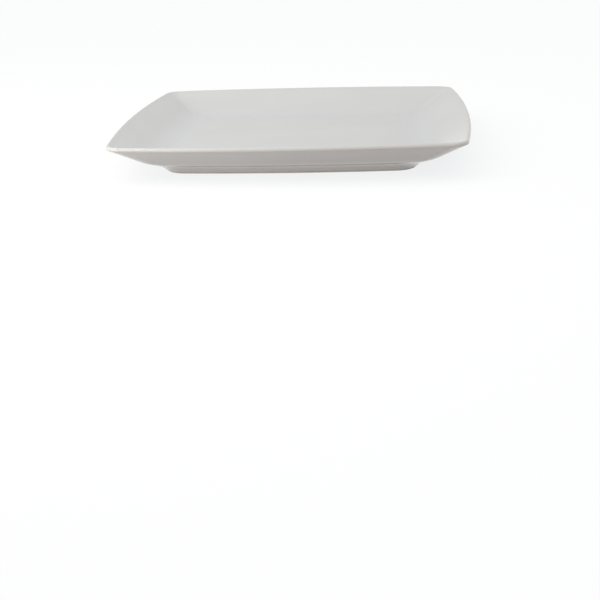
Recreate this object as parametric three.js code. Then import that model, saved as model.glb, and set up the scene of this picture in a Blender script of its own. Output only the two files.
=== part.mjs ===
// A square dinner plate of glazed porcelain: a flat well, a soft cove, four rim panels that meet
// in mitred corners, a rounded lip and a foot ring. The fired body is one piece. Two skins of glaze
// are fused to it, one over the face, lip and flank and one in the recess inside the foot ring,
// and the strip of foot between them is bare, where the glaze was wiped off before firing.
// Millimetres, +Z up, origin on the table under the middle of the plate.
import * as THREE from "three";

// Driving dimensions of the finished plate
const PLATE_WIDTH = 260; // between the middles of two opposite sides, over the lip
const PLATE_HEIGHT = 26; // from the table to the top of the lip
const SIDE_BOW = 7.5; // how far the middle of a side stands out beyond its unrounded corners
const LIP_CORNER_RADIUS = 13; // plan radius of a corner at the lip's outer edge
const LIP_THICKNESS = 3.2; // the lip is a full round of this diameter
const WELL_WIDTH = 198; // between opposite lines where the rim's slope would meet the floor
const CREASE_RADIUS = 4; // plan radius of the crease between two rim panels, under the lip
const WELL_CORNER_RADIUS = 9; // the same crease where the cove runs out into the floor
const COVE_RADIUS = 46; // section radius of the curve from the floor into the rim
const FLOOR_THICKNESS = 4.6; // the wall under the well, thinning along the rim to the lip
const FOOT_INSET = 7; // from the well's width in to the foot ring's outer edge, at the table
const FOOT_RING_WIDTH = 5.5; // across the foot ring, at the table
const FOOT_CORNER_RADIUS = 16; // plan radius of the foot ring's outer corners, at the table
const OUTER_WALL_LEAN = 4.5; // how far the foot's outer wall leans out on its way up to the flank
const OUTER_FILLET = 5; // length that the curve from the outer wall to the flank takes of the wall
const FLANK_SWEEP = 9; // how far out along the flank the same curve runs
const RECESS_DEPTH = 4.4; // from the table to the underside inside the foot ring
const INNER_WALL_LEAN = 1.2; // how far the foot's inner wall leans in on its way up to the recess
const INNER_FILLET = 1.6; // length of the curve between the inner wall and the recess, on each of them
const FOOT_EDGE = 0.5; // chamfer of the bare foot's edges
const GLAZE_THICKNESS = 0.3;
const GLAZE_LINE = 1.2; // height above the table where the glaze stops on both foot walls

// How finely curves are cut into facets
const COVE_STEPS = 5;
const LIP_STEPS = 6; // in half a turn
const FILLET_STEPS = 4;
const SIDE_STEPS = 6; // along one side, even so that its middle is a step
const CORNER_STEPS = 6; // round one corner

// Largest share of the straight length on either side of it that a curve may take up
const CURVE_SHARE = 0.9;

const PORCELAIN = new THREE.MeshStandardMaterial({ color: 0xe4ded3, roughness: 0.65, metalness: 0 });
const GLAZE = new THREE.MeshStandardMaterial({ color: 0xe9e9e7, roughness: 0.1, metalness: 0 });

const halfPlate = PLATE_WIDTH / 2;
const halfKnee = WELL_WIDTH / 2;
const floorTop = RECESS_DEPTH + FLOOR_THICKNESS;
const halfFoot = halfKnee - FOOT_INSET;
const halfRecess = halfFoot - FOOT_RING_WIDTH;
const lipRadius = LIP_THICKNESS / 2;
const lipCentre = new THREE.Vector2(halfPlate - lipRadius, PLATE_HEIGHT - lipRadius);

// The rim's slope is the tangent from the knee, on the floor, to the top of the lip's round.
const knee = new THREE.Vector2(halfKnee, floorTop);
const kneeToLip = lipCentre.clone().sub(knee);
const rimAngle = kneeToLip.angle() + Math.asin(lipRadius / kneeToLip.length());
const rimLength = Math.sqrt(kneeToLip.lengthSq() - lipRadius ** 2);

// The cove is an arc tangent to the floor and to the rim.
const coveLimit = CURVE_SHARE * Math.min(rimLength, halfKnee);
const coveReach = Math.min(COVE_RADIUS * Math.tan(rimAngle / 2), coveLimit);
const coveRadius = coveReach / Math.tan(rimAngle / 2);
const halfFloor = halfKnee - coveReach;
const coveCentre = new THREE.Vector2(halfFloor, floorTop + coveRadius);

// The side arcs of every ring round the plate share the lip's side radius.
const cornerDistance = halfPlate - SIDE_BOW;
const sideRadius = (cornerDistance ** 2 + SIDE_BOW ** 2) / (2 * SIDE_BOW);

function arc(centre, radius, from, to, steps) {
  return new THREE.EllipseCurve(centre.x, centre.y, radius, radius, from, to, to < from).getPoints(steps);
}

// Plan radius of a ring's corners on the face: round the lip they share its corner's centre, then
// the crease widens towards the floor, and on the floor it shrinks with the ring to the middle.
function faceCorner(half) {
  if (half < halfFloor) return (WELL_CORNER_RADIUS * half) / halfFloor;
  const crease = THREE.MathUtils.mapLinear(half, halfFloor, halfPlate, WELL_CORNER_RADIUS, CREASE_RADIUS);
  return Math.max(LIP_CORNER_RADIUS - (halfPlate - half), crease);
}

// The same under the plate: it grows from the lip to the foot, shares a centre on both sides of the
// foot ring, and shrinks with the ring to the middle of the recess.
function undersideCorner(half) {
  const recessCorner = FOOT_CORNER_RADIUS - FOOT_RING_WIDTH;
  if (half < halfRecess) return (recessCorner * half) / halfRecess;
  if (half < halfFoot) return FOOT_CORNER_RADIUS - (halfFoot - half);
  return THREE.MathUtils.mapLinear(half, halfFoot, halfPlate, FOOT_CORNER_RADIUS, LIP_CORNER_RADIUS);
}

// Plan of one ring: four bowed sides with rounded corners, anticlockwise from a corner of the
// right-hand side. The ring's half width is measured to the middle of a side.
function ringPlan(half, corner) {
  const sideCentre = half - sideRadius;
  const cornerCentre = (sideCentre + Math.sqrt(2 * (sideRadius - corner) ** 2 - sideCentre ** 2)) / 2;
  const reach = Math.atan2(cornerCentre, cornerCentre - sideCentre);
  const side = arc(new THREE.Vector2(sideCentre, 0), sideRadius, -reach, reach, SIDE_STEPS);
  const turnCentre = new THREE.Vector2(cornerCentre, cornerCentre);
  const turn = arc(turnCentre, corner, reach, Math.PI / 2 - reach, CORNER_STEPS);
  const quarter = [...side.slice(0, -1), ...turn.slice(0, -1)];
  const turned = (angle) => quarter.map((p) => p.clone().rotateAround(new THREE.Vector2(), angle));
  return [0, Math.PI / 2, Math.PI, Math.PI * 1.5].flatMap(turned);
}

// Sections hold half widths in x and heights in y. They run from the axis over the face, the lip,
// the flank and the foot, and back to the axis underneath, so the outside is on their left. This
// one is the floor, the cove and, after the straight rim, the lip.
function faceSection() {
  const down = -Math.PI / 2;
  const cove = arc(coveCentre, coveRadius, down, down + rimAngle, COVE_STEPS);
  return [new THREE.Vector2(0, floorTop), ...cove, ...lipSection()];
}

// The lip's round, from the rim over the top to the underside. Its highest and its outermost point
// are always steps, so that the plate has its full height and width.
function lipSection() {
  const stops = [rimAngle + Math.PI / 2, Math.PI / 2, 0, rimAngle - Math.PI / 2];
  const stretches = stops.slice(1).map((to, i) => {
    const steps = Math.ceil((LIP_STEPS * (stops[i] - to)) / Math.PI);
    return arc(lipCentre, lipRadius, stops[i], to, steps);
  });
  return stretches.flatMap((points, i) => (i === 0 ? points : points.slice(1)));
}

// The underside starts at the lip and follows the rim and the cove at the wall's thickness, which
// grows evenly to the edge of the floor. Then it runs level to the axis.
function undersideSection() {
  const direction = (angle) => new THREE.Vector2(Math.sin(angle), -Math.cos(angle));
  const points = [direction(rimAngle).multiplyScalar(lipRadius).add(lipCentre)];
  const straight = rimLength - coveReach;
  const wallLength = straight + coveRadius * rimAngle;
  for (let i = 0; i <= COVE_STEPS; i++) {
    const angle = rimAngle * (1 - i / COVE_STEPS);
    const along = straight + coveRadius * (rimAngle - angle);
    const wall = THREE.MathUtils.lerp(LIP_THICKNESS, FLOOR_THICKNESS, along / wallLength);
    points.push(direction(angle).multiplyScalar(coveRadius + wall).add(coveCentre));
  }
  points.push(new THREE.Vector2(0, RECESS_DEPTH));
  return points;
}

function pointAt(section, half) {
  const i = section.findIndex((p, n) => n > 0 && p.x <= half);
  const before = section[i - 1];
  return before.clone().lerp(section[i], (before.x - half) / (before.x - section[i].x));
}

// A foot wall from the underside down to the glaze line. The curve at its top takes the fillet's
// length of the wall and the sweep's length of the underside. Lean and sweep count outwards, so they
// are negative for the inner wall.
function footWall(bottomHalf, lean, fillet, sweep, underside) {
  const top = pointAt(underside, bottomHalf + lean);
  const glazeEnd = new THREE.Vector2(bottomHalf, 0).lerp(top, GLAZE_LINE / top.y);
  const start = pointAt(underside, top.x + sweep);
  const end = top.clone().lerp(glazeEnd, Math.min(fillet / top.distanceTo(glazeEnd), CURVE_SHARE));
  return [...new THREE.QuadraticBezierCurve(start, top, end).getPoints(FILLET_STEPS), glazeEnd];
}

// Adds the plan radius of each ring's corners to a section, as the third number of its points.
function withCorners(section, corner) {
  return section.map((p) => new THREE.Vector3(p.x, p.y, corner(p.x)));
}

// The same section with corners, sunk into its right-hand side by a depth. Ends on the axis stay there.
function sunk(section, depth) {
  const flat = section.map((p) => new THREE.Vector2(p.x, p.y));
  return flat.map((p, i) => {
    const into = p.clone().sub(flat[Math.max(i - 1, 0)]).normalize();
    const out = flat[Math.min(i + 1, flat.length - 1)].clone().sub(p).normalize();
    const along = into.clone().add(out).normalize();
    const miter = Math.max(along.dot(into), along.dot(out));
    const inward = new THREE.Vector2(along.y, -along.x).multiplyScalar(depth / miter);
    if (p.x === 0) inward.set(0, Math.sign(inward.y) * depth);
    return new THREE.Vector3(p.x + inward.x, p.y + inward.y, section[i].z);
  });
}

// Carries a section with corners round the plate and closes it at the axis. Each four-sided facet is
// split from its outer ring, or its higher one, so that two solids which share a surface share its
// triangles.
function sweep(section) {
  const rings = section.slice(1, -1).map((p) => ringPlan(p.x, p.z).map((q) => [q.x, q.y, p.y]));
  const count = rings[0].length;
  const first = 0;
  const last = rings.length * count + 1;
  const vertex = (ring, step) => 1 + ring * count + (step % count);
  const outermost = (a, b) => (a.x === b.x ? a.y > b.y : a.x > b.x);
  const faces = [];
  for (let step = 0; step < count; step++) {
    faces.push(first, vertex(0, step), vertex(0, step + 1));
    for (let ring = 0; ring + 1 < rings.length; ring++) {
      const a = vertex(ring, step);
      const b = vertex(ring + 1, step);
      const c = vertex(ring + 1, step + 1);
      const d = vertex(ring, step + 1);
      if (outermost(section[ring + 1], section[ring + 2])) faces.push(a, b, c, a, c, d);
      else faces.push(a, b, d, b, c, d);
    }
    faces.push(last, vertex(rings.length - 1, step + 1), vertex(rings.length - 1, step));
  }
  const poles = [section[0], section[section.length - 1]].map((p) => [0, 0, p.y]);
  const positions = [poles[0], ...rings.flat(), poles[1]].flat();
  const geometry = new THREE.BufferGeometry();
  geometry.setAttribute("position", new THREE.Float32BufferAttribute(positions, 3));
  geometry.setIndex(faces);
  geometry.computeVertexNormals();
  return geometry;
}

function piece(name, section, material) {
  const mesh = new THREE.Mesh(sweep(section), material);
  mesh.name = name;
  return mesh;
}

const underside = undersideSection();
const outerWall = footWall(halfFoot, OUTER_WALL_LEAN, OUTER_FILLET, FLANK_SWEEP, underside);
const innerWall = footWall(halfRecess, -INNER_WALL_LEAN, INNER_FILLET, -INNER_FILLET, underside).reverse();

// Finished surfaces of the two skins, and the body's own surface under them
const flank = underside.slice(1).filter((p) => p.x > outerWall[0].x);
const mainSurface = [
  ...withCorners(faceSection(), faceCorner),
  ...withCorners([...flank, ...outerWall], undersideCorner),
];
const recessFloor = underside.filter((p) => p.x < innerWall.at(-1).x);
const recessSurface = withCorners([...innerWall, ...recessFloor], undersideCorner);
const underMain = sunk(mainSurface, GLAZE_THICKNESS);
const underRecess = sunk(recessSurface, GLAZE_THICKNESS);

// The bare foot: it carries on down from the body's own surface at the two glaze lines.
const bareOuter = halfFoot - GLAZE_THICKNESS;
const bareInner = halfRecess + GLAZE_THICKNESS;
const bareFootEdges = [
  new THREE.Vector2(bareOuter, FOOT_EDGE),
  new THREE.Vector2(bareOuter - FOOT_EDGE, 0),
  new THREE.Vector2(bareInner + FOOT_EDGE, 0),
  new THREE.Vector2(bareInner, FOOT_EDGE),
];
const bareFoot = withCorners(bareFootEdges, undersideCorner);

const plate = new THREE.Group();
plate.add(
  piece("porcelain_body", [...underMain, ...bareFoot, ...underRecess], PORCELAIN),
  piece("main_glaze", [...mainSurface, ...underMain.toReversed()], GLAZE),
  piece("recess_glaze", [...underRecess.toReversed(), ...recessSurface], GLAZE),
);

export default plate;
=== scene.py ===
"""Looks of a square dinner plate of white glazed porcelain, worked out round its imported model.

Blender's lengths are metres, +Z up, with the origin on the table under the middle of the plate.
The sections are in millimetres, as a potter draws them, and become metres where a mesh is made.
A section holds a half width, measured to the middle of a side, and a height for each of its points.
"""

import math

import bpy
import numpy as np
from mathutils import Matrix, Vector


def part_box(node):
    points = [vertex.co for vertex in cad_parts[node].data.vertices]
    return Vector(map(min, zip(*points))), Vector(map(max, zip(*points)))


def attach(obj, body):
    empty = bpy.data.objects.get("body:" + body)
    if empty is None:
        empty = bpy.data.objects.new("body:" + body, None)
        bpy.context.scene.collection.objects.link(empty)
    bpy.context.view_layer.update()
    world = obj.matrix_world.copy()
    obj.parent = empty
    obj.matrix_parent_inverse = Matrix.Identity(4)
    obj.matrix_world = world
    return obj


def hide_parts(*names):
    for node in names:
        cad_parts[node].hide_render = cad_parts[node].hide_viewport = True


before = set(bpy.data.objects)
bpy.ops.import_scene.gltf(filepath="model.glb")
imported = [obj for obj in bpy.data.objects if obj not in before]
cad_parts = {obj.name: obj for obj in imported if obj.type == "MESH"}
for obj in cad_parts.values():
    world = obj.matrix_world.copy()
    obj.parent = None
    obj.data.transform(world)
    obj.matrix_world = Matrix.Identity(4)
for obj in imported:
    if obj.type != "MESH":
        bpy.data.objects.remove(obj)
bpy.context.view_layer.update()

MM = 0.001

# Sizes of the finished plate, in millimetres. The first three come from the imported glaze.
glaze_low, glaze_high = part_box("main_glaze")
HALF_PLATE = glaze_high.x / MM
PLATE_HEIGHT = glaze_high.z / MM
GLAZE_LINE = glaze_low.z / MM
SIDE_BOW = 7.5
LIP_CORNER_RADIUS = 13.0
LIP_THICKNESS = 3.2
HALF_KNEE = 99.0
CREASE_RADIUS = 4.0
CREASE_BLEND = 1.0
WELL_CORNER_RADIUS = 9.0
COVE_RADIUS = 46.0
FLOOR_THICKNESS = 4.6
HALF_FOOT = 92.0
FOOT_RING_WIDTH = 5.5
FOOT_CORNER_RADIUS = 16.0
OUTER_WALL_LEAN = 4.5
OUTER_FILLET = 5.0
FLANK_SWEEP = 9.0
RECESS_DEPTH = 4.4
INNER_WALL_LEAN = 1.2
INNER_FILLET = 1.6
FOOT_EDGE = 0.5
GLAZE_THICKNESS = 0.3
BEAD_LENGTH = 0.8
KILN_SAG = 0.3
SAG_START = HALF_FOOT + 6.0

# The sag's mean share, and for each of its waves the turns round the plate, share and start angle
SAG_MEAN = 0.5
SAG_WAVES = ((2, 0.3, 0.7), (3, 0.2, 2.1))

# The most of a foot wall that a fillet takes, how close in millimetres two points of a line count
# as one, and the angle past which an edge is shaded sharp
CURVE_SHARE = 0.9
SAME_POINT = 1e-6
SHARP_ANGLE = math.radians(50)

# How many steps the smooth surfaces take
FLOOR_RINGS = 14
COVE_RINGS = 30
RIM_RINGS = 12
LIP_RINGS = 28
FLANK_RINGS = 14
FILLET_RINGS = 16
WALL_RINGS = 4
BEAD_RINGS = 6
STANDING_RINGS = 6
SIDE_STEPS = 28
CORNER_STEPS = 20

HALF_RECESS = HALF_FOOT - FOOT_RING_WIDTH
FLOOR_TOP = RECESS_DEPTH + FLOOR_THICKNESS
LIP_RADIUS = LIP_THICKNESS / 2
LIP_CENTRE = np.array([HALF_PLATE - LIP_RADIUS, PLATE_HEIGHT - LIP_RADIUS])
KNEE_TO_LIP = LIP_CENTRE - np.array([HALF_KNEE, FLOOR_TOP])
KNEE_DISTANCE = np.hypot(*KNEE_TO_LIP)
RIM_ANGLE = math.atan2(KNEE_TO_LIP[1], KNEE_TO_LIP[0]) + math.asin(LIP_RADIUS / KNEE_DISTANCE)
RIM_LENGTH = math.sqrt(KNEE_DISTANCE**2 - LIP_RADIUS**2)
COVE_REACH = COVE_RADIUS * math.tan(RIM_ANGLE / 2)
HALF_FLOOR = HALF_KNEE - COVE_REACH
COVE_CENTRE = np.array([HALF_FLOOR, FLOOR_TOP + COVE_RADIUS])
CORNER_DISTANCE = HALF_PLATE - SIDE_BOW
SIDE_RADIUS = (CORNER_DISTANCE**2 + SIDE_BOW**2) / (2 * SIDE_BOW)


def ease(value, start, stop):
    """Smooth step: 0 before start, 1 after stop, and 3t^2 - 2t^3 of the share t between them."""
    share = np.clip((value - start) / (stop - start), 0, 1)
    return share * share * (3 - 2 * share)


def arc(centre, radius, start, stop, steps):
    """Circle points: the centre plus the radius times (cos, sin) of evenly spaced angles."""
    angle = np.linspace(start, stop, steps + 1)
    return centre + radius * np.column_stack([np.cos(angle), np.sin(angle)])


def straight(start, stop, steps):
    """Evenly spaced points of a straight line, both ends included."""
    share = np.linspace(0, 1, steps + 1)[:, None]
    return start * (1 - share) + stop * share


def face_line():
    """Section from the axis over floor, cove and rim and round the lip to the underside.

    The floor is level, the cove is an arc tangent to it and to the rim, the rim is straight, and
    the lip is half a turn of a circle tangent to the rim. The underside goes on from its end.
    """
    middle = straight(np.array([0.0, FLOOR_TOP]), np.array([HALF_FLOOR, FLOOR_TOP]), FLOOR_RINGS)
    cove = arc(COVE_CENTRE, COVE_RADIUS, -math.pi / 2, RIM_ANGLE - math.pi / 2, COVE_RINGS)
    lip = arc(LIP_CENTRE, LIP_RADIUS, RIM_ANGLE + math.pi / 2, RIM_ANGLE - math.pi / 2, LIP_RINGS)
    rim = straight(cove[-1], lip[0], RIM_RINGS)
    return np.vstack([middle, cove[1:], rim[1:], lip[1:]])


def underside_line():
    """Section from the lip inwards, under rim and cove, and level to the axis.

    It lies a wall's thickness from the face. The wall grows evenly from the lip's thickness to the
    floor's along the rim and the cove, whose centre it shares.
    """
    angle = np.linspace(RIM_ANGLE, 0, COVE_RINGS + 1)
    rim = RIM_LENGTH - COVE_REACH
    share = (rim + COVE_RADIUS * (RIM_ANGLE - angle)) / (rim + COVE_RADIUS * RIM_ANGLE)
    wall = LIP_THICKNESS + (FLOOR_THICKNESS - LIP_THICKNESS) * share
    out = np.column_stack([np.sin(angle), -np.cos(angle)])
    cove = COVE_CENTRE + out * (COVE_RADIUS + wall)[:, None]
    under_rim = straight(LIP_CENTRE + out[0] * LIP_RADIUS, cove[0], FLANK_RINGS)
    under_floor = straight(cove[-1], np.array([0.0, RECESS_DEPTH]), FLOOR_RINGS)
    return np.vstack([under_rim, cove[1:], under_floor[1:]])


def point_at(line, half):
    """The point of a line that runs inwards, at a half width, between its nearest two points."""
    return np.array([half, np.interp(half, line[::-1, 0], line[::-1, 1])])


def foot_wall(bottom_half, lean, fillet, sweep, underside):
    """A foot wall from the underside down to the glaze line, with its fillet.

    The fillet is a quadratic curve: (1-t)^2 start + 2t(1-t) top + t^2 end. It takes its own length
    of the wall and the sweep's length of the underside. Lean and sweep count outwards, so the inner
    wall has them negative.
    """
    top = point_at(underside, bottom_half + lean)
    glaze_end = np.array([bottom_half, 0.0]) + (GLAZE_LINE / top[1]) * (top - [bottom_half, 0.0])
    start = point_at(underside, top[0] + sweep)
    end = top + (glaze_end - top) * min(fillet / np.hypot(*(top - glaze_end)), CURVE_SHARE)
    t = np.linspace(0, 1, FILLET_RINGS + 1)[:, None]
    curve = (1 - t) ** 2 * start + 2 * t * (1 - t) * top + t**2 * end
    return np.vstack([curve, straight(end, glaze_end, WALL_RINGS)[1:]])


def sunk(line, depth):
    """A line moved to its right by a depth, square to its own direction at each point.

    The depth may differ from point to point. Points on the axis stay on it.
    """
    along = np.gradient(line, axis=0)
    along[0] = line[1] - line[0]
    along[-1] = line[-1] - line[-2]
    along /= np.hypot(along[:, 0], along[:, 1])[:, None]
    moved = line + np.column_stack([along[:, 1], -along[:, 0]]) * np.reshape(depth, (-1, 1))
    moved[line[:, 0] == 0, 0] = 0
    return moved


def run_length(line):
    """Distance along a line from its first point to each of its points."""
    return np.concatenate([[0], np.cumsum(np.hypot(*np.diff(line, axis=0).T))])


def beaded(line, at_end):
    """A finished glaze line whose end rounds off to the body in a quarter of an ellipse.

    Over the last BEAD_LENGTH the cover falls from the glaze's thickness to none as
    sqrt(1 - u^2), where u goes from 0 to 1 along the bead.
    """
    turned = line if at_end else line[::-1]
    length = run_length(turned)
    bead = length[-1] - BEAD_LENGTH * np.cos(np.linspace(0, math.pi / 2, BEAD_RINGS + 1))
    length_after = np.concatenate([length[length < bead[0] - SAME_POINT], bead])
    refined = np.column_stack([np.interp(length_after, length, turned[:, i]) for i in (0, 1)])
    u = np.clip((length_after - bead[0]) / BEAD_LENGTH, 0, 1)
    loss = GLAZE_THICKNESS * (1 - np.sqrt(np.clip(1 - u * u, 0, 1)))
    if at_end:
        return sunk(refined, loss)
    return sunk(refined[::-1], loss[::-1])


def face_corner(half):
    """Plan radius of the corners on the face.

    On the floor it shrinks with the ring. Up the rim the crease tightens evenly, and at the lip
    the corners share one centre. The larger of the two rules holds, with a soft change-over:
    half of a + b + sqrt((a - b)^2 + CREASE_BLEND^2).
    """
    floor = WELL_CORNER_RADIUS * half / HALF_FLOOR
    share = (half - HALF_FLOOR) / (HALF_PLATE - HALF_FLOOR)
    crease = WELL_CORNER_RADIUS + (CREASE_RADIUS - WELL_CORNER_RADIUS) * share
    lip = LIP_CORNER_RADIUS - (HALF_PLATE - half)
    larger = (crease + lip + np.sqrt((crease - lip) ** 2 + CREASE_BLEND**2)) / 2
    return np.where(half < HALF_FLOOR, floor, larger)


def underside_corner(half):
    """Plan radius of the corners underneath: even growth from lip to foot, one centre for both
    sides of the foot ring, and shrinking with the ring inside it."""
    recess = (FOOT_CORNER_RADIUS - FOOT_RING_WIDTH) * half / HALF_RECESS
    ring = FOOT_CORNER_RADIUS - (HALF_FOOT - half)
    share = (half - HALF_FOOT) / (HALF_PLATE - HALF_FOOT)
    flank = FOOT_CORNER_RADIUS + (LIP_CORNER_RADIUS - FOOT_CORNER_RADIUS) * share
    return np.where(half < HALF_RECESS, recess, np.where(half < HALF_FOOT, ring, flank))


def ring_plan(half, corner):
    """Plan of each ring, a row each, anticlockwise: four bowed sides and four round corners.

    A side is an arc of SIDE_RADIUS about (half - SIDE_RADIUS, 0), and a corner is an arc about a
    point on the diagonal, placed so that the two arcs are tangent. One quarter is turned four
    times.
    """
    half, corner = half[:, None], corner[:, None]
    side_at = half - SIDE_RADIUS
    corner_at = (side_at + np.sqrt(2 * (SIDE_RADIUS - corner) ** 2 - side_at**2)) / 2
    reach = np.arctan2(corner_at, corner_at - side_at)
    side = reach * np.linspace(-1, 1, SIDE_STEPS + 1)
    turn = reach + (math.pi / 2 - 2 * reach) * np.linspace(0, 1, CORNER_STEPS + 1)[1:-1]
    x = np.hstack([side_at + SIDE_RADIUS * np.cos(side), corner_at + corner * np.cos(turn)])
    y = np.hstack([SIDE_RADIUS * np.sin(side), corner_at + corner * np.sin(turn)])
    return np.hstack([x, -y, -x, y]), np.hstack([y, x, -y, -x])


def kiln_sag(x, y):
    """How far the rim sank in the firing: nothing over the foot, growing to the lip, and uneven
    round the plate as a sum of two slow waves of the compass angle."""
    angle = np.arctan2(y, x)
    waves = SAG_MEAN
    for turns, share, start in SAG_WAVES:
        waves = waves + share * np.sin(turns * angle + start)
    return -KILN_SAG * waves * ease(np.maximum(np.abs(x), np.abs(y)), SAG_START, HALF_PLATE)


def put(name, data):
    """A new object in the scene, for a mesh, a lamp or a camera."""
    made = bpy.data.objects.new(name, data)
    bpy.context.collection.objects.link(made)
    return made


def shell(name, section, corner, material, marks):
    """A closed mesh: each point of a section becomes a ring, and fans close it at the axis.

    marks holds an array for each named point attribute. It has a row for each section point and
    either one column or one for each point of a ring.
    """
    x, y = ring_plan(section[1:-1, 0], corner[1:-1])
    rings, count = x.shape
    z = section[1:-1, 1][:, None] + kiln_sag(x, y)
    points = np.stack([x, y, z], axis=2).reshape(-1, 3)
    poles = np.column_stack([np.zeros((2, 2)), section[[0, -1], 1]])
    here = np.arange(count)
    after = np.roll(here, -1)
    start = 1 + count * np.arange(rings - 1)[:, None]
    next_start = start + count
    quads = np.stack([start + here, next_start + here, next_start + after, start + after], axis=2)
    last = 1 + count * (rings - 1)
    first_fan = np.column_stack([np.zeros(count, int), 1 + here, 1 + after])
    last_fan = np.column_stack([np.full(count, last + count), last + after, last + here])
    mesh = bpy.data.meshes.new(name)
    mesh.from_pydata(
        (np.vstack([poles[:1], points, poles[1:]]) * MM).tolist(),
        [],
        quads.reshape(-1, 4).tolist() + first_fan.tolist() + last_fan.tolist(),
    )
    for mark, values in marks.items():
        attribute = mesh.attributes.new(mark, "FLOAT", "POINT")
        grid = np.broadcast_to(values[1:-1], (rings, count))
        flat = np.concatenate([values[0, :1], grid.ravel(), values[-1, :1]])
        attribute.data.foreach_set("value", flat.astype(np.float32))
    mesh.shade_smooth()
    mesh.set_sharp_from_angle(angle=SHARP_ANGLE)
    mesh.materials.append(material)
    return put(name, mesh)


def corner_share():
    """Share of corner along one ring: a raised cosine over each corner arc, 0 along the sides."""
    turn = np.linspace(0, 1, CORNER_STEPS + 1)[1:-1]
    quarter = np.concatenate([np.zeros(SIDE_STEPS + 1), 0.5 - 0.5 * np.cos(2 * math.pi * turn)])
    return np.tile(quarter, 4)


# Small helpers that keep the node trees readable

# A Mix node's sockets for colours, by number because their names repeat
MIX_SHARE, MIX_PLAIN, MIX_TINTED, MIX_COLOUR = 0, 6, 7, 2


def empty_tree(owner):
    """The node tree of a material or a world, switched on and cleared."""
    owner.use_nodes = True
    owner.node_tree.nodes.clear()
    return owner.node_tree


def add_node(tree, kind, inputs=None, **options):
    """A new node with its options set, and each input set to a value or linked to a socket."""
    made = tree.nodes.new(kind)
    for option, value in options.items():
        setattr(made, option, value)
    for socket, value in (inputs or {}).items():
        if isinstance(value, bpy.types.NodeSocket):
            tree.links.new(value, made.inputs[socket])
        else:
            made.inputs[socket].default_value = value
    return made


def math_node(tree, operation, *values):
    """The result of a Math node, with the values on its inputs in order."""
    return add_node(tree, "ShaderNodeMath", dict(enumerate(values)), operation=operation).outputs[0]


def tint(tree, share, plain, tinted):
    """A colour that goes from plain to tinted as a share goes from 0 to 1."""
    inputs = {MIX_SHARE: share, MIX_PLAIN: plain, MIX_TINTED: tinted}
    return add_node(tree, "ShaderNodeMix", inputs, data_type="RGBA").outputs[MIX_COLOUR]


def soft_range(tree, value, start, stop, low=0.0, high=1.0):
    """A value turned into low at start and high at stop, with a smooth step between them."""
    inputs = {"Value": value, "From Min": start, "From Max": stop, "To Min": low, "To Max": high}
    return add_node(
        tree, "ShaderNodeMapRange", inputs, interpolation_type="SMOOTHSTEP"
    ).outputs[0]


def noise_value(tree, place, scale, detail=2.0, roughness=0.5):
    """Noise between 0 and 1 at a place, with 1 / scale as the size of its lumps."""
    inputs = {"Vector": place, "Scale": scale, "Detail": detail, "Roughness": roughness}
    return add_node(tree, "ShaderNodeTexNoise", inputs).outputs[0]


def new_group(name, inputs, outputs):
    """An empty node group with named inputs and outputs, and its two end nodes."""
    tree = bpy.data.node_groups.new(name, "ShaderNodeTree")
    for label, kind, value in inputs:
        socket = tree.interface.new_socket(label, in_out="INPUT", socket_type=kind)
        if value is not None:
            socket.default_value = value
    for label in outputs:
        tree.interface.new_socket(label, in_out="OUTPUT", socket_type="NodeSocketFloat")
    return tree, tree.nodes.new("NodeGroupInput").outputs, tree.nodes.new("NodeGroupOutput").inputs


def use_group(tree, group, inputs):
    """The outputs of a group placed in a material with its own values."""
    return add_node(tree, "ShaderNodeGroup", inputs, node_tree=group).outputs


# Effects that more than one finish uses

# The smallest speck as a share of the largest, and the share of a speck that is full-toned
SMALLEST_SPECK = 0.3
SPECK_CORE = 0.5

# Rub marks come in patches, which start and are full at these values of a noise
RUB_PATCH_SCALE = 28.0
RUB_PATCH_START = 0.5
RUB_PATCH_FULL = 0.68

# The values of a noise that the mottle spreads over 0 to 1
MOTTLE_LOW = 0.3
MOTTLE_HIGH = 0.7

NOISE_MIDDLE = 0.5


def fired_ripple_group():
    """Height of a fired surface, in metres: orange peel as fine noise, and slow drift as broad
    noise, each centred on zero and multiplied by its own depth."""
    tree, given, result = new_group(
        "fired_ripple",
        [
            ("Place", "NodeSocketVector", None),
            ("Peel Size", "NodeSocketFloat", 0.002),
            ("Peel Depth", "NodeSocketFloat", 2e-6),
            ("Drift Size", "NodeSocketFloat", 0.03),
            ("Drift Depth", "NodeSocketFloat", 2e-5),
        ],
        ["Height"],
    )
    parts = []
    for layer, detail in (("Peel", 2.0), ("Drift", 1.0)):
        scale = math_node(tree, "DIVIDE", 1.0, given[layer + " Size"])
        noise = noise_value(tree, given["Place"], scale, detail)
        centred = math_node(tree, "SUBTRACT", noise, NOISE_MIDDLE)
        parts.append(math_node(tree, "MULTIPLY", centred, given[layer + " Depth"]))
    tree.links.new(math_node(tree, "ADD", *parts), result["Height"])
    return tree


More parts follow.
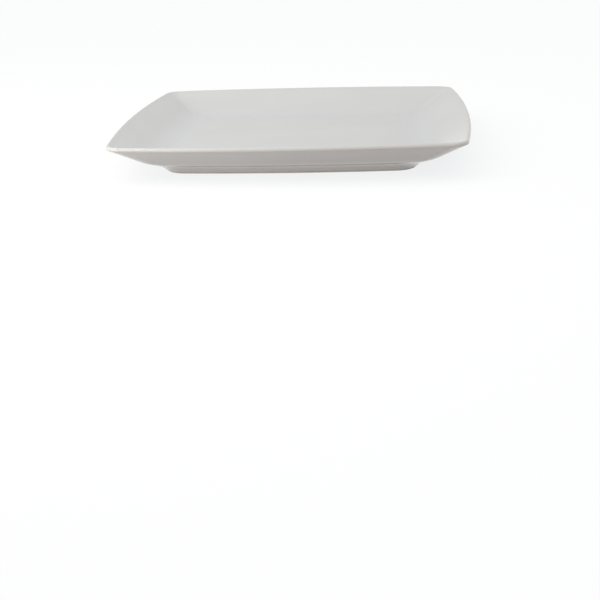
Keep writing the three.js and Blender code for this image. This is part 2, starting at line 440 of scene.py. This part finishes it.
def kiln_specks_group():
    """Mask of sparse round specks: 1 inside a Voronoi cell's own radius and 0 outside it, with a
    soft edge. The cell's random colour picks which cells have a speck, and how large it is."""
    tree, given, result = new_group(
        "kiln_specks",
        [
            ("Place", "NodeSocketVector", None),
            ("Spacing", "NodeSocketFloat", 0.012),
            ("Radius", "NodeSocketFloat", 0.0004),
            ("Share", "NodeSocketFloat", 0.2),
        ],
        ["Mask"],
    )
    scale = math_node(tree, "DIVIDE", 1.0, given["Spacing"])
    cells = add_node(tree, "ShaderNodeTexVoronoi", {"Vector": given["Place"], "Scale": scale})
    luck = add_node(tree, "ShaderNodeSeparateColor", {"Color": cells.outputs["Color"]}).outputs
    size = math_node(tree, "MULTIPLY_ADD", luck["Green"], 1 - SMALLEST_SPECK, SMALLEST_SPECK)
    radius = math_node(tree, "MULTIPLY", math_node(tree, "MULTIPLY", size, given["Radius"]), scale)
    nearness = math_node(tree, "DIVIDE", cells.outputs["Distance"], radius)
    spot = soft_range(tree, nearness, 1.0, SPECK_CORE)
    chosen = math_node(tree, "LESS_THAN", luck["Red"], given["Share"])
    tree.links.new(math_node(tree, "MULTIPLY", spot, chosen), result["Mask"])
    return tree


def rub_marks_group():
    """Mask of hairline rub marks: narrow bands along the middle value of a noise that is stretched
    in one direction, kept only where a broad noise is high, so that they come in patches."""
    tree, given, result = new_group(
        "rub_marks",
        [
            ("Place", "NodeSocketVector", None),
            ("Turn", "NodeSocketFloat", 0.6),
            ("Length", "NodeSocketFloat", 0.03),
            ("Width", "NodeSocketFloat", 0.0015),
            ("Fineness", "NodeSocketFloat", 0.03),
        ],
        ["Mask"],
    )
    turn = add_node(tree, "ShaderNodeCombineXYZ", {"Z": given["Turn"]})
    along = math_node(tree, "DIVIDE", 1.0, given["Length"])
    across = math_node(tree, "DIVIDE", 1.0, given["Width"])
    stretch = add_node(tree, "ShaderNodeCombineXYZ", {"X": along, "Y": across, "Z": along})
    mapped = add_node(
        tree,
        "ShaderNodeMapping",
        {"Vector": given["Place"], "Rotation": turn.outputs[0], "Scale": stretch.outputs[0]},
        vector_type="POINT",
    )
    lines = noise_value(tree, mapped.outputs[0], 1.0)
    off_line = math_node(tree, "ABSOLUTE", math_node(tree, "SUBTRACT", lines, NOISE_MIDDLE))
    hair = soft_range(tree, off_line, given["Fineness"], 0.0)
    patch_noise = noise_value(tree, given["Place"], RUB_PATCH_SCALE)
    patches = soft_range(tree, patch_noise, RUB_PATCH_START, RUB_PATCH_FULL)
    tree.links.new(math_node(tree, "MULTIPLY", hair, patches), result["Mask"])
    return tree


def soft_mottle_group():
    """Share of tone that changes slowly over the surface: broad noise with a little finer noise,
    spread so that it covers 0 to 1."""
    tree, given, result = new_group(
        "soft_mottle",
        [("Place", "NodeSocketVector", None), ("Size", "NodeSocketFloat", 0.05)],
        ["Share"],
    )
    scale = math_node(tree, "DIVIDE", 1.0, given["Size"])
    noise = noise_value(tree, given["Place"], scale, detail=3.0, roughness=0.45)
    tree.links.new(soft_range(tree, noise, MOTTLE_LOW, MOTTLE_HIGH), result["Share"])
    return tree


fired_ripple = fired_ripple_group()
kiln_specks = kiln_specks_group()
rub_marks = rub_marks_group()
soft_mottle = soft_mottle_group()


def new_material(name):
    """An empty material, with its tree, its Principled shader and the surface's own coordinates."""
    material = bpy.data.materials.new(name)
    tree = empty_tree(material)
    shader = tree.nodes.new("ShaderNodeBsdfPrincipled")
    add_node(tree, "ShaderNodeOutputMaterial", {"Surface": shader.outputs[0]})
    place = tree.nodes.new("ShaderNodeTexCoord").outputs["Object"]
    return material, tree, shader, place


def mark_value(tree, mark):
    """A point attribute of the piece, as a value."""
    return add_node(tree, "ShaderNodeAttribute", attribute_name=mark).outputs["Fac"]


def bump(tree, shader, height):
    """Turns a height in metres into the shader's normal."""
    bumped = add_node(
        tree, "ShaderNodeBump", {"Height": height, "Distance": 1.0, "Strength": 1.0}
    )
    tree.links.new(bumped.outputs[0], shader.inputs["Normal"])


# Finishes, as linear colours
GLAZE_WHITE = (0.735, 0.735, 0.725, 1)
GLAZE_MOTTLED = (0.71, 0.712, 0.705, 1)
GLAZE_THIN = (0.715, 0.705, 0.675, 1)
GLAZE_POOLED = (0.715, 0.728, 0.73, 1)
GLAZE_SPECK = (0.42, 0.36, 0.29, 1)
PORCELAIN_FIRED = (0.66, 0.62, 0.55, 1)
PORCELAIN_TOASTED = (0.60, 0.53, 0.44, 1)
PORCELAIN_GREYED = (0.36, 0.35, 0.33, 1)
PORCELAIN_SPECK = (0.30, 0.25, 0.20, 1)

# What the tones and marks add to the roughness of a finish, how far a scuff greys the foot, and the
# height of a speck in the glaze, which is a pit, in metres
GLAZE_MOTTLED_DULL = 0.025
GLAZE_THIN_DULL = 0.05
GLAZE_SPECK_HEIGHT = -2e-5
PORCELAIN_ROUGH = 0.58
PORCELAIN_TOASTED_DULL = 0.08
PORCELAIN_WORN_DULL = -0.12
SCUFF_GREY = 0.6


def glaze(name, smooth, peel_depth, speck_share, rub_depth):
    """White gloss glaze: a slow change of tone, a warmer cast where it is thin, a cooler one where
    it pooled, sparse iron specks, and hairline marks that only dull the gloss."""
    material, tree, shader, place = new_material(name)
    tone = use_group(tree, soft_mottle, {"Place": place, "Size": 0.06})["Share"]
    specks = use_group(
        tree,
        kiln_specks,
        {"Place": place, "Spacing": 0.014, "Radius": 0.00028, "Share": speck_share},
    )["Mask"]
    rubbed = use_group(
        tree,
        rub_marks,
        {"Place": place, "Turn": 0.7, "Length": 0.04, "Width": 0.003, "Fineness": 0.012},
    )["Mask"]
    thin = mark_value(tree, "thin_glaze")
    pooled = mark_value(tree, "pooled_glaze")
    colour = tint(tree, tone, GLAZE_WHITE, GLAZE_MOTTLED)
    colour = tint(tree, pooled, colour, GLAZE_POOLED)
    colour = tint(tree, thin, colour, GLAZE_THIN)
    colour = tint(tree, specks, colour, GLAZE_SPECK)
    tree.links.new(colour, shader.inputs["Base Color"])
    dull = math_node(tree, "MULTIPLY_ADD", tone, GLAZE_MOTTLED_DULL, smooth)
    dull = math_node(tree, "MULTIPLY_ADD", rubbed, rub_depth, dull)
    dull = math_node(tree, "MULTIPLY_ADD", thin, GLAZE_THIN_DULL, dull)
    tree.links.new(dull, shader.inputs["Roughness"])
    height = use_group(
        tree,
        fired_ripple,
        {
            "Place": place,
            "Peel Size": 0.0022,
            "Peel Depth": peel_depth,
            "Drift Size": 0.028,
            "Drift Depth": 4e-5,
        },
    )["Height"]
    pits = math_node(tree, "MULTIPLY", specks, GLAZE_SPECK_HEIGHT)
    bump(tree, shader, math_node(tree, "ADD", height, pits))
    shader.inputs["IOR"].default_value = 1.5
    return material


def bare_porcelain(name):
    """Unglazed foot: fine fired grain, toasted patches, specks, and grey rubbing on the standing
    edge where it has been slid about."""
    material, tree, shader, place = new_material(name)
    tone = use_group(tree, soft_mottle, {"Place": place, "Size": 0.02})["Share"]
    specks = use_group(
        tree,
        kiln_specks,
        {"Place": place, "Spacing": 0.003, "Radius": 0.00022, "Share": 0.3},
    )["Mask"]
    rubbed = use_group(
        tree,
        rub_marks,
        {"Place": place, "Turn": 0.3, "Length": 0.012, "Width": 0.0012, "Fineness": 0.05},
    )["Mask"]
    worn = mark_value(tree, "foot_wear")
    scuffed = math_node(tree, "MULTIPLY", worn, rubbed)
    greyed = math_node(tree, "MULTIPLY", scuffed, SCUFF_GREY)
    colour = tint(tree, tone, PORCELAIN_FIRED, PORCELAIN_TOASTED)
    colour = tint(tree, greyed, colour, PORCELAIN_GREYED)
    colour = tint(tree, specks, colour, PORCELAIN_SPECK)
    tree.links.new(colour, shader.inputs["Base Color"])
    rough = math_node(tree, "MULTIPLY_ADD", tone, PORCELAIN_TOASTED_DULL, PORCELAIN_ROUGH)
    rough = math_node(tree, "MULTIPLY_ADD", worn, PORCELAIN_WORN_DULL, rough)
    tree.links.new(rough, shader.inputs["Roughness"])
    height = use_group(
        tree,
        fired_ripple,
        {
            "Place": place,
            "Peel Size": 0.0006,
            "Peel Depth": 3e-5,
            "Drift Size": 0.008,
            "Drift Depth": 5e-5,
        },
    )["Height"]
    bump(tree, shader, height)
    return material


gloss_glaze = glaze("gloss_glaze", smooth=0.06, peel_depth=4e-6, speck_share=0.12, rub_depth=0.10)
recess_gloss = glaze(
    "recess_glaze_finish", smooth=0.12, peel_depth=8e-6, speck_share=0.35, rub_depth=0.05
)
foot_finish = bare_porcelain("bare_porcelain_finish")

# The finished surfaces of the two skins, and the body's own surface under them
underside = underside_line()
outer_wall = foot_wall(HALF_FOOT, OUTER_WALL_LEAN, OUTER_FILLET, FLANK_SWEEP, underside)
inner_wall = foot_wall(HALF_RECESS, -INNER_WALL_LEAN, INNER_FILLET, -INNER_FILLET, underside)[::-1]
face = face_line()
flank = underside[1:][underside[1:, 0] > outer_wall[0, 0]]
recess_floor = underside[underside[:, 0] < inner_wall[-1, 0]]
main_line = np.vstack([face, flank, outer_wall])
recess_line = np.vstack([inner_wall, recess_floor])
under_main = sunk(main_line, GLAZE_THICKNESS)
under_recess = sunk(recess_line, GLAZE_THICKNESS)
main_finish = beaded(main_line, at_end=True)
recess_finish = beaded(recess_line, at_end=False)

# Where the glaze thins and pools, as distances and half widths in millimetres, and how deep the
# cast of a pool is
THIN_REACH = 3.2 * LIP_RADIUS
COVE_POOL_STARTS = (HALF_FLOOR - 10, HALF_FLOOR + 2)
COVE_POOL_ENDS = (HALF_KNEE - 4, HALF_KNEE + 10)
COVE_POOL_CAST = 0.6
CREASE_POOL_ENDS = (HALF_PLATE - 12, HALF_PLATE - 4)
FOOT_POOL_REACH = 5.0
FOOT_POOL_CAST = 0.7


def foot_section():
    """The bare foot between the two glaze ends: two quarter rounds and the standing face."""
    outer = np.array([HALF_FOOT - GLAZE_THICKNESS - FOOT_EDGE, FOOT_EDGE])
    inner = np.array([HALF_RECESS + GLAZE_THICKNESS + FOOT_EDGE, FOOT_EDGE])
    outer_round = arc(outer, FOOT_EDGE, 0, -math.pi / 2, BEAD_RINGS)
    inner_round = arc(inner, FOOT_EDGE, -math.pi / 2, -math.pi, BEAD_RINGS)
    standing = straight(outer_round[-1], inner_round[0], STANDING_RINGS)
    return np.vstack([outer_round, standing[1:-1], inner_round])


def main_corners(line):
    """Corner radii of the main skin: the face's rule up to the lip's end, then the underside's."""
    on_face, beneath = np.split(line[:, 0], [len(face)])
    return np.concatenate([face_corner(on_face), underside_corner(beneath)])


def glaze_marks(section):
    """Where the glaze ran thin, over the lip's round, and where it pooled: round the cove, more so
    at the creases of its corners, and lower down in the angle between the flank and the foot."""
    from_lip = np.hypot(*(section - LIP_CENTRE).T)
    thin = 1 - ease(from_lip, LIP_RADIUS, THIN_REACH)
    half, height = section.T
    above = height > FLOOR_TOP - GLAZE_THICKNESS
    cove = ease(half, *COVE_POOL_STARTS) * (1 - ease(half, *COVE_POOL_ENDS))
    crease = ease(half, HALF_FLOOR, HALF_KNEE) * (1 - ease(half, *CREASE_POOL_ENDS))
    angle = 1 - ease(np.abs(half - outer_wall[0, 0]), 0, FOOT_POOL_REACH)
    pooled = np.where(above, COVE_POOL_CAST * cove, FOOT_POOL_CAST * angle)[:, None]
    pooled = pooled + np.where(above, crease, 0)[:, None] * corner_share()
    return {"thin_glaze": thin[:, None], "pooled_glaze": np.clip(pooled, 0, 1)}


def foot_marks(section):
    """How far the bare foot is worn: fully on its standing face, and less up its rounded edges."""
    return {"foot_wear": 1 - ease(section[:, 1], 0, FOOT_EDGE)[:, None]}


# The two surfaces of a skin share the ring where its bead ends, so the inner one leaves it out
main_section = np.vstack([main_finish, under_main[-2::-1]])
main_radii = np.concatenate([main_corners(main_finish), main_corners(under_main)[-2::-1]])
recess_section = np.vstack([under_recess[:0:-1], recess_finish])
recess_radii = underside_corner(recess_section[:, 0])
foot = foot_section()
body_section = np.vstack([under_main, foot, under_recess])
body_radii = np.concatenate(
    [main_corners(under_main), underside_corner(foot[:, 0]), underside_corner(under_recess[:, 0])]
)

for name, section, radii, finish, marks, node, slot in (
    ("gloss_glaze_skin", main_section, main_radii, gloss_glaze, glaze_marks,
     "main_glaze", "white_glaze"),
    ("recess_glaze_skin", recess_section, recess_radii, recess_gloss, glaze_marks,
     "recess_glaze", "white_glaze"),
    ("fired_body", body_section, body_radii, foot_finish, foot_marks,
     "porcelain_body", "bare_porcelain"),
):
    piece = shell(name, section, radii, finish, marks(section))
    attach(piece, "root")
    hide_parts(node)


# The studio: a white table, even light all round it, and two soft lamps on the left

# The table's size in plans of the foot, its matte tone, the glow that is seen of it, and the light
# of its own that the plate gets
FLOOR_SPREAD = 65.0
FLOOR_TONE = (0.275, 0.248, 0.235, 1)
FLOOR_GLOW = (0.76, 0.785, 0.797, 1)
FLOOR_LIGHT = (0.165, 0.146, 0.136, 1)

# Strengths of the surroundings level with the table, a little above it and overhead, and the
# upward shares of a direction where the first ends and where the last begins and is full
SKY_LEVEL = 0.965
SKY_LOW = 0.675
SKY_HIGH = 0.78
SKY_LEVEL_END = 0.12
SKY_HIGH_START = 0.15
SKY_HIGH_FULL = 0.9


def studio_floor():
    """A white table round the foot, out to FLOOR_SPREAD times the foot's own plan.

    Its glow is seen directly and in reflections. As light on the plate it counts only as
    FLOOR_LIGHT, besides what the matte surface throws back. From below the table is clear, and it
    is open inside the foot, so that the underside can be looked at in good light.
    """
    standing = np.array([HALF_FOOT - GLAZE_THICKNESS - FOOT_EDGE])
    plan = np.column_stack([c[0] for c in ring_plan(standing, underside_corner(standing))]) * MM
    count = len(plan)
    flat = np.column_stack([np.vstack([plan, plan * FLOOR_SPREAD]), np.zeros(2 * count)])
    here = np.arange(count)
    after = np.roll(here, -1)
    strip = np.column_stack([here, count + here, count + after, after])
    mesh = bpy.data.meshes.new("studio_floor")
    mesh.from_pydata(flat.tolist(), [], strip.tolist())
    material = bpy.data.materials.new("white_table")
    tree = empty_tree(material)
    path = tree.nodes.new("ShaderNodeLightPath").outputs
    seen = math_node(tree, "ADD", path["Is Camera Ray"], path["Is Glossy Ray"])
    seen = math_node(tree, "ADD", seen, path["Is Transmission Ray"])
    seen = math_node(tree, "MINIMUM", seen, 1.0)
    own_light = tint(tree, seen, FLOOR_LIGHT, FLOOR_GLOW)
    glow = add_node(tree, "ShaderNodeEmission", {"Color": own_light})
    matte = add_node(tree, "ShaderNodeBsdfDiffuse", {"Color": FLOOR_TONE})
    white = add_node(tree, "ShaderNodeAddShader", {0: glow.outputs[0], 1: matte.outputs[0]})
    clear = tree.nodes.new("ShaderNodeBsdfTransparent")
    below = tree.nodes.new("ShaderNodeNewGeometry").outputs["Backfacing"]
    both = add_node(
        tree, "ShaderNodeMixShader", {0: below, 1: white.outputs[0], 2: clear.outputs[0]}
    )
    add_node(tree, "ShaderNodeOutputMaterial", {"Surface": both.outputs[0]})
    mesh.materials.append(material)
    floor = put("studio_floor", mesh)


def studio_sky():
    """Even white surroundings: as white as the table where they meet it, then a little darker, and
    brighter again overhead. They are the same below the table, where they light the underside."""
    world = bpy.data.worlds.new("studio_sky")
    tree = empty_tree(world)
    direction = tree.nodes.new("ShaderNodeTexCoord").outputs["Generated"]
    height = add_node(tree, "ShaderNodeSeparateXYZ", {"Vector": direction}).outputs["Z"]
    height = math_node(tree, "ABSOLUTE", height)
    upper = soft_range(tree, height, SKY_HIGH_START, SKY_HIGH_FULL, SKY_LOW, SKY_HIGH)
    strength = soft_range(tree, height, 0.0, SKY_LEVEL_END, SKY_LEVEL, upper)
    light = add_node(tree, "ShaderNodeBackground", {"Color": (1, 1, 1, 1), "Strength": strength})
    add_node(tree, "ShaderNodeOutputWorld", {"Surface": light.outputs[0]})
    bpy.context.scene.world = world


def soft_lamp(name, place, target, width, height, watts):
    """A flat lamp of a width and a height at a place, turned to face a target."""
    lamp = bpy.data.lights.new(name, "AREA")
    lamp.shape = "RECTANGLE"
    lamp.size = width
    lamp.size_y = height
    lamp.energy = watts
    holder = put(name, lamp)
    holder.location = place
    holder.rotation_euler = (Vector(target) - Vector(place)).to_track_quat("-Z", "Y").to_euler()


studio_floor()
studio_sky()
soft_lamp(
    "upper_left_lamp",
    place=(-0.46, -0.20, 0.42),
    target=(0.0, 0.0, 0.0),
    width=0.5,
    height=0.5,
    watts=1.1,
)
soft_lamp(
    "front_left_lamp",
    place=(-0.28, -0.34, 0.05),
    target=(-0.03, -0.11, 0.01),
    width=0.34,
    height=0.08,
    watts=0.38,
)

# The camera: a little right of square on, about ten degrees above the table, aimed low so that
# the plate stands in the upper part of the frame
CAMERA_AZIMUTH = math.radians(4.724)
CAMERA_ELEVATION = math.radians(9.922)
CAMERA_ROLL = math.radians(-1.797)
CAMERA_YAW = math.radians(-0.187)
CAMERA_PITCH = math.radians(-9.047)
CAMERA_DISTANCE = 0.9021
SENSOR_WIDTH = 36.0
FRAME_PIXELS = 600
FOCAL_PIXELS = 1159.6


def photo_camera():
    """The camera at the photograph's angle.

    It stands on a line from the lip's centre height at an azimuth and an elevation. It looks back
    along that line, then yaws, pitches and rolls by small angles.
    """
    back = Vector(
        (
            math.sin(CAMERA_AZIMUTH) * math.cos(CAMERA_ELEVATION),
            -math.cos(CAMERA_AZIMUTH) * math.cos(CAMERA_ELEVATION),
            math.sin(CAMERA_ELEVATION),
        )
    )
    right = Vector((math.cos(CAMERA_AZIMUTH), math.sin(CAMERA_AZIMUTH), 0))
    level = -math.cos(CAMERA_YAW) * back + math.sin(CAMERA_YAW) * right
    ahead = math.cos(CAMERA_PITCH) * level + math.sin(CAMERA_PITCH) * back.cross(right)
    across = (right - right.dot(ahead) * ahead).normalized()
    upward = across.cross(ahead)
    rolled_across = math.cos(CAMERA_ROLL) * across + math.sin(CAMERA_ROLL) * upward
    rolled_upward = math.cos(CAMERA_ROLL) * upward - math.sin(CAMERA_ROLL) * across
    eye = Vector((0, 0, LIP_CENTRE[1] * MM)) + back * CAMERA_DISTANCE
    camera = bpy.data.cameras.new("photo_camera")
    camera.sensor_width = SENSOR_WIDTH
    camera.lens = SENSOR_WIDTH * (FOCAL_PIXELS / FRAME_PIXELS)
    camera.clip_start = 0.01
    holder = put("photo_camera", camera)
    turned = Matrix((rolled_across, rolled_upward, -ahead)).transposed().to_4x4()
    holder.matrix_world = Matrix.Translation(eye) @ turned
    bpy.context.scene.camera = holder


photo_camera()
bpy.context.scene.view_settings.view_transform = "Standard"
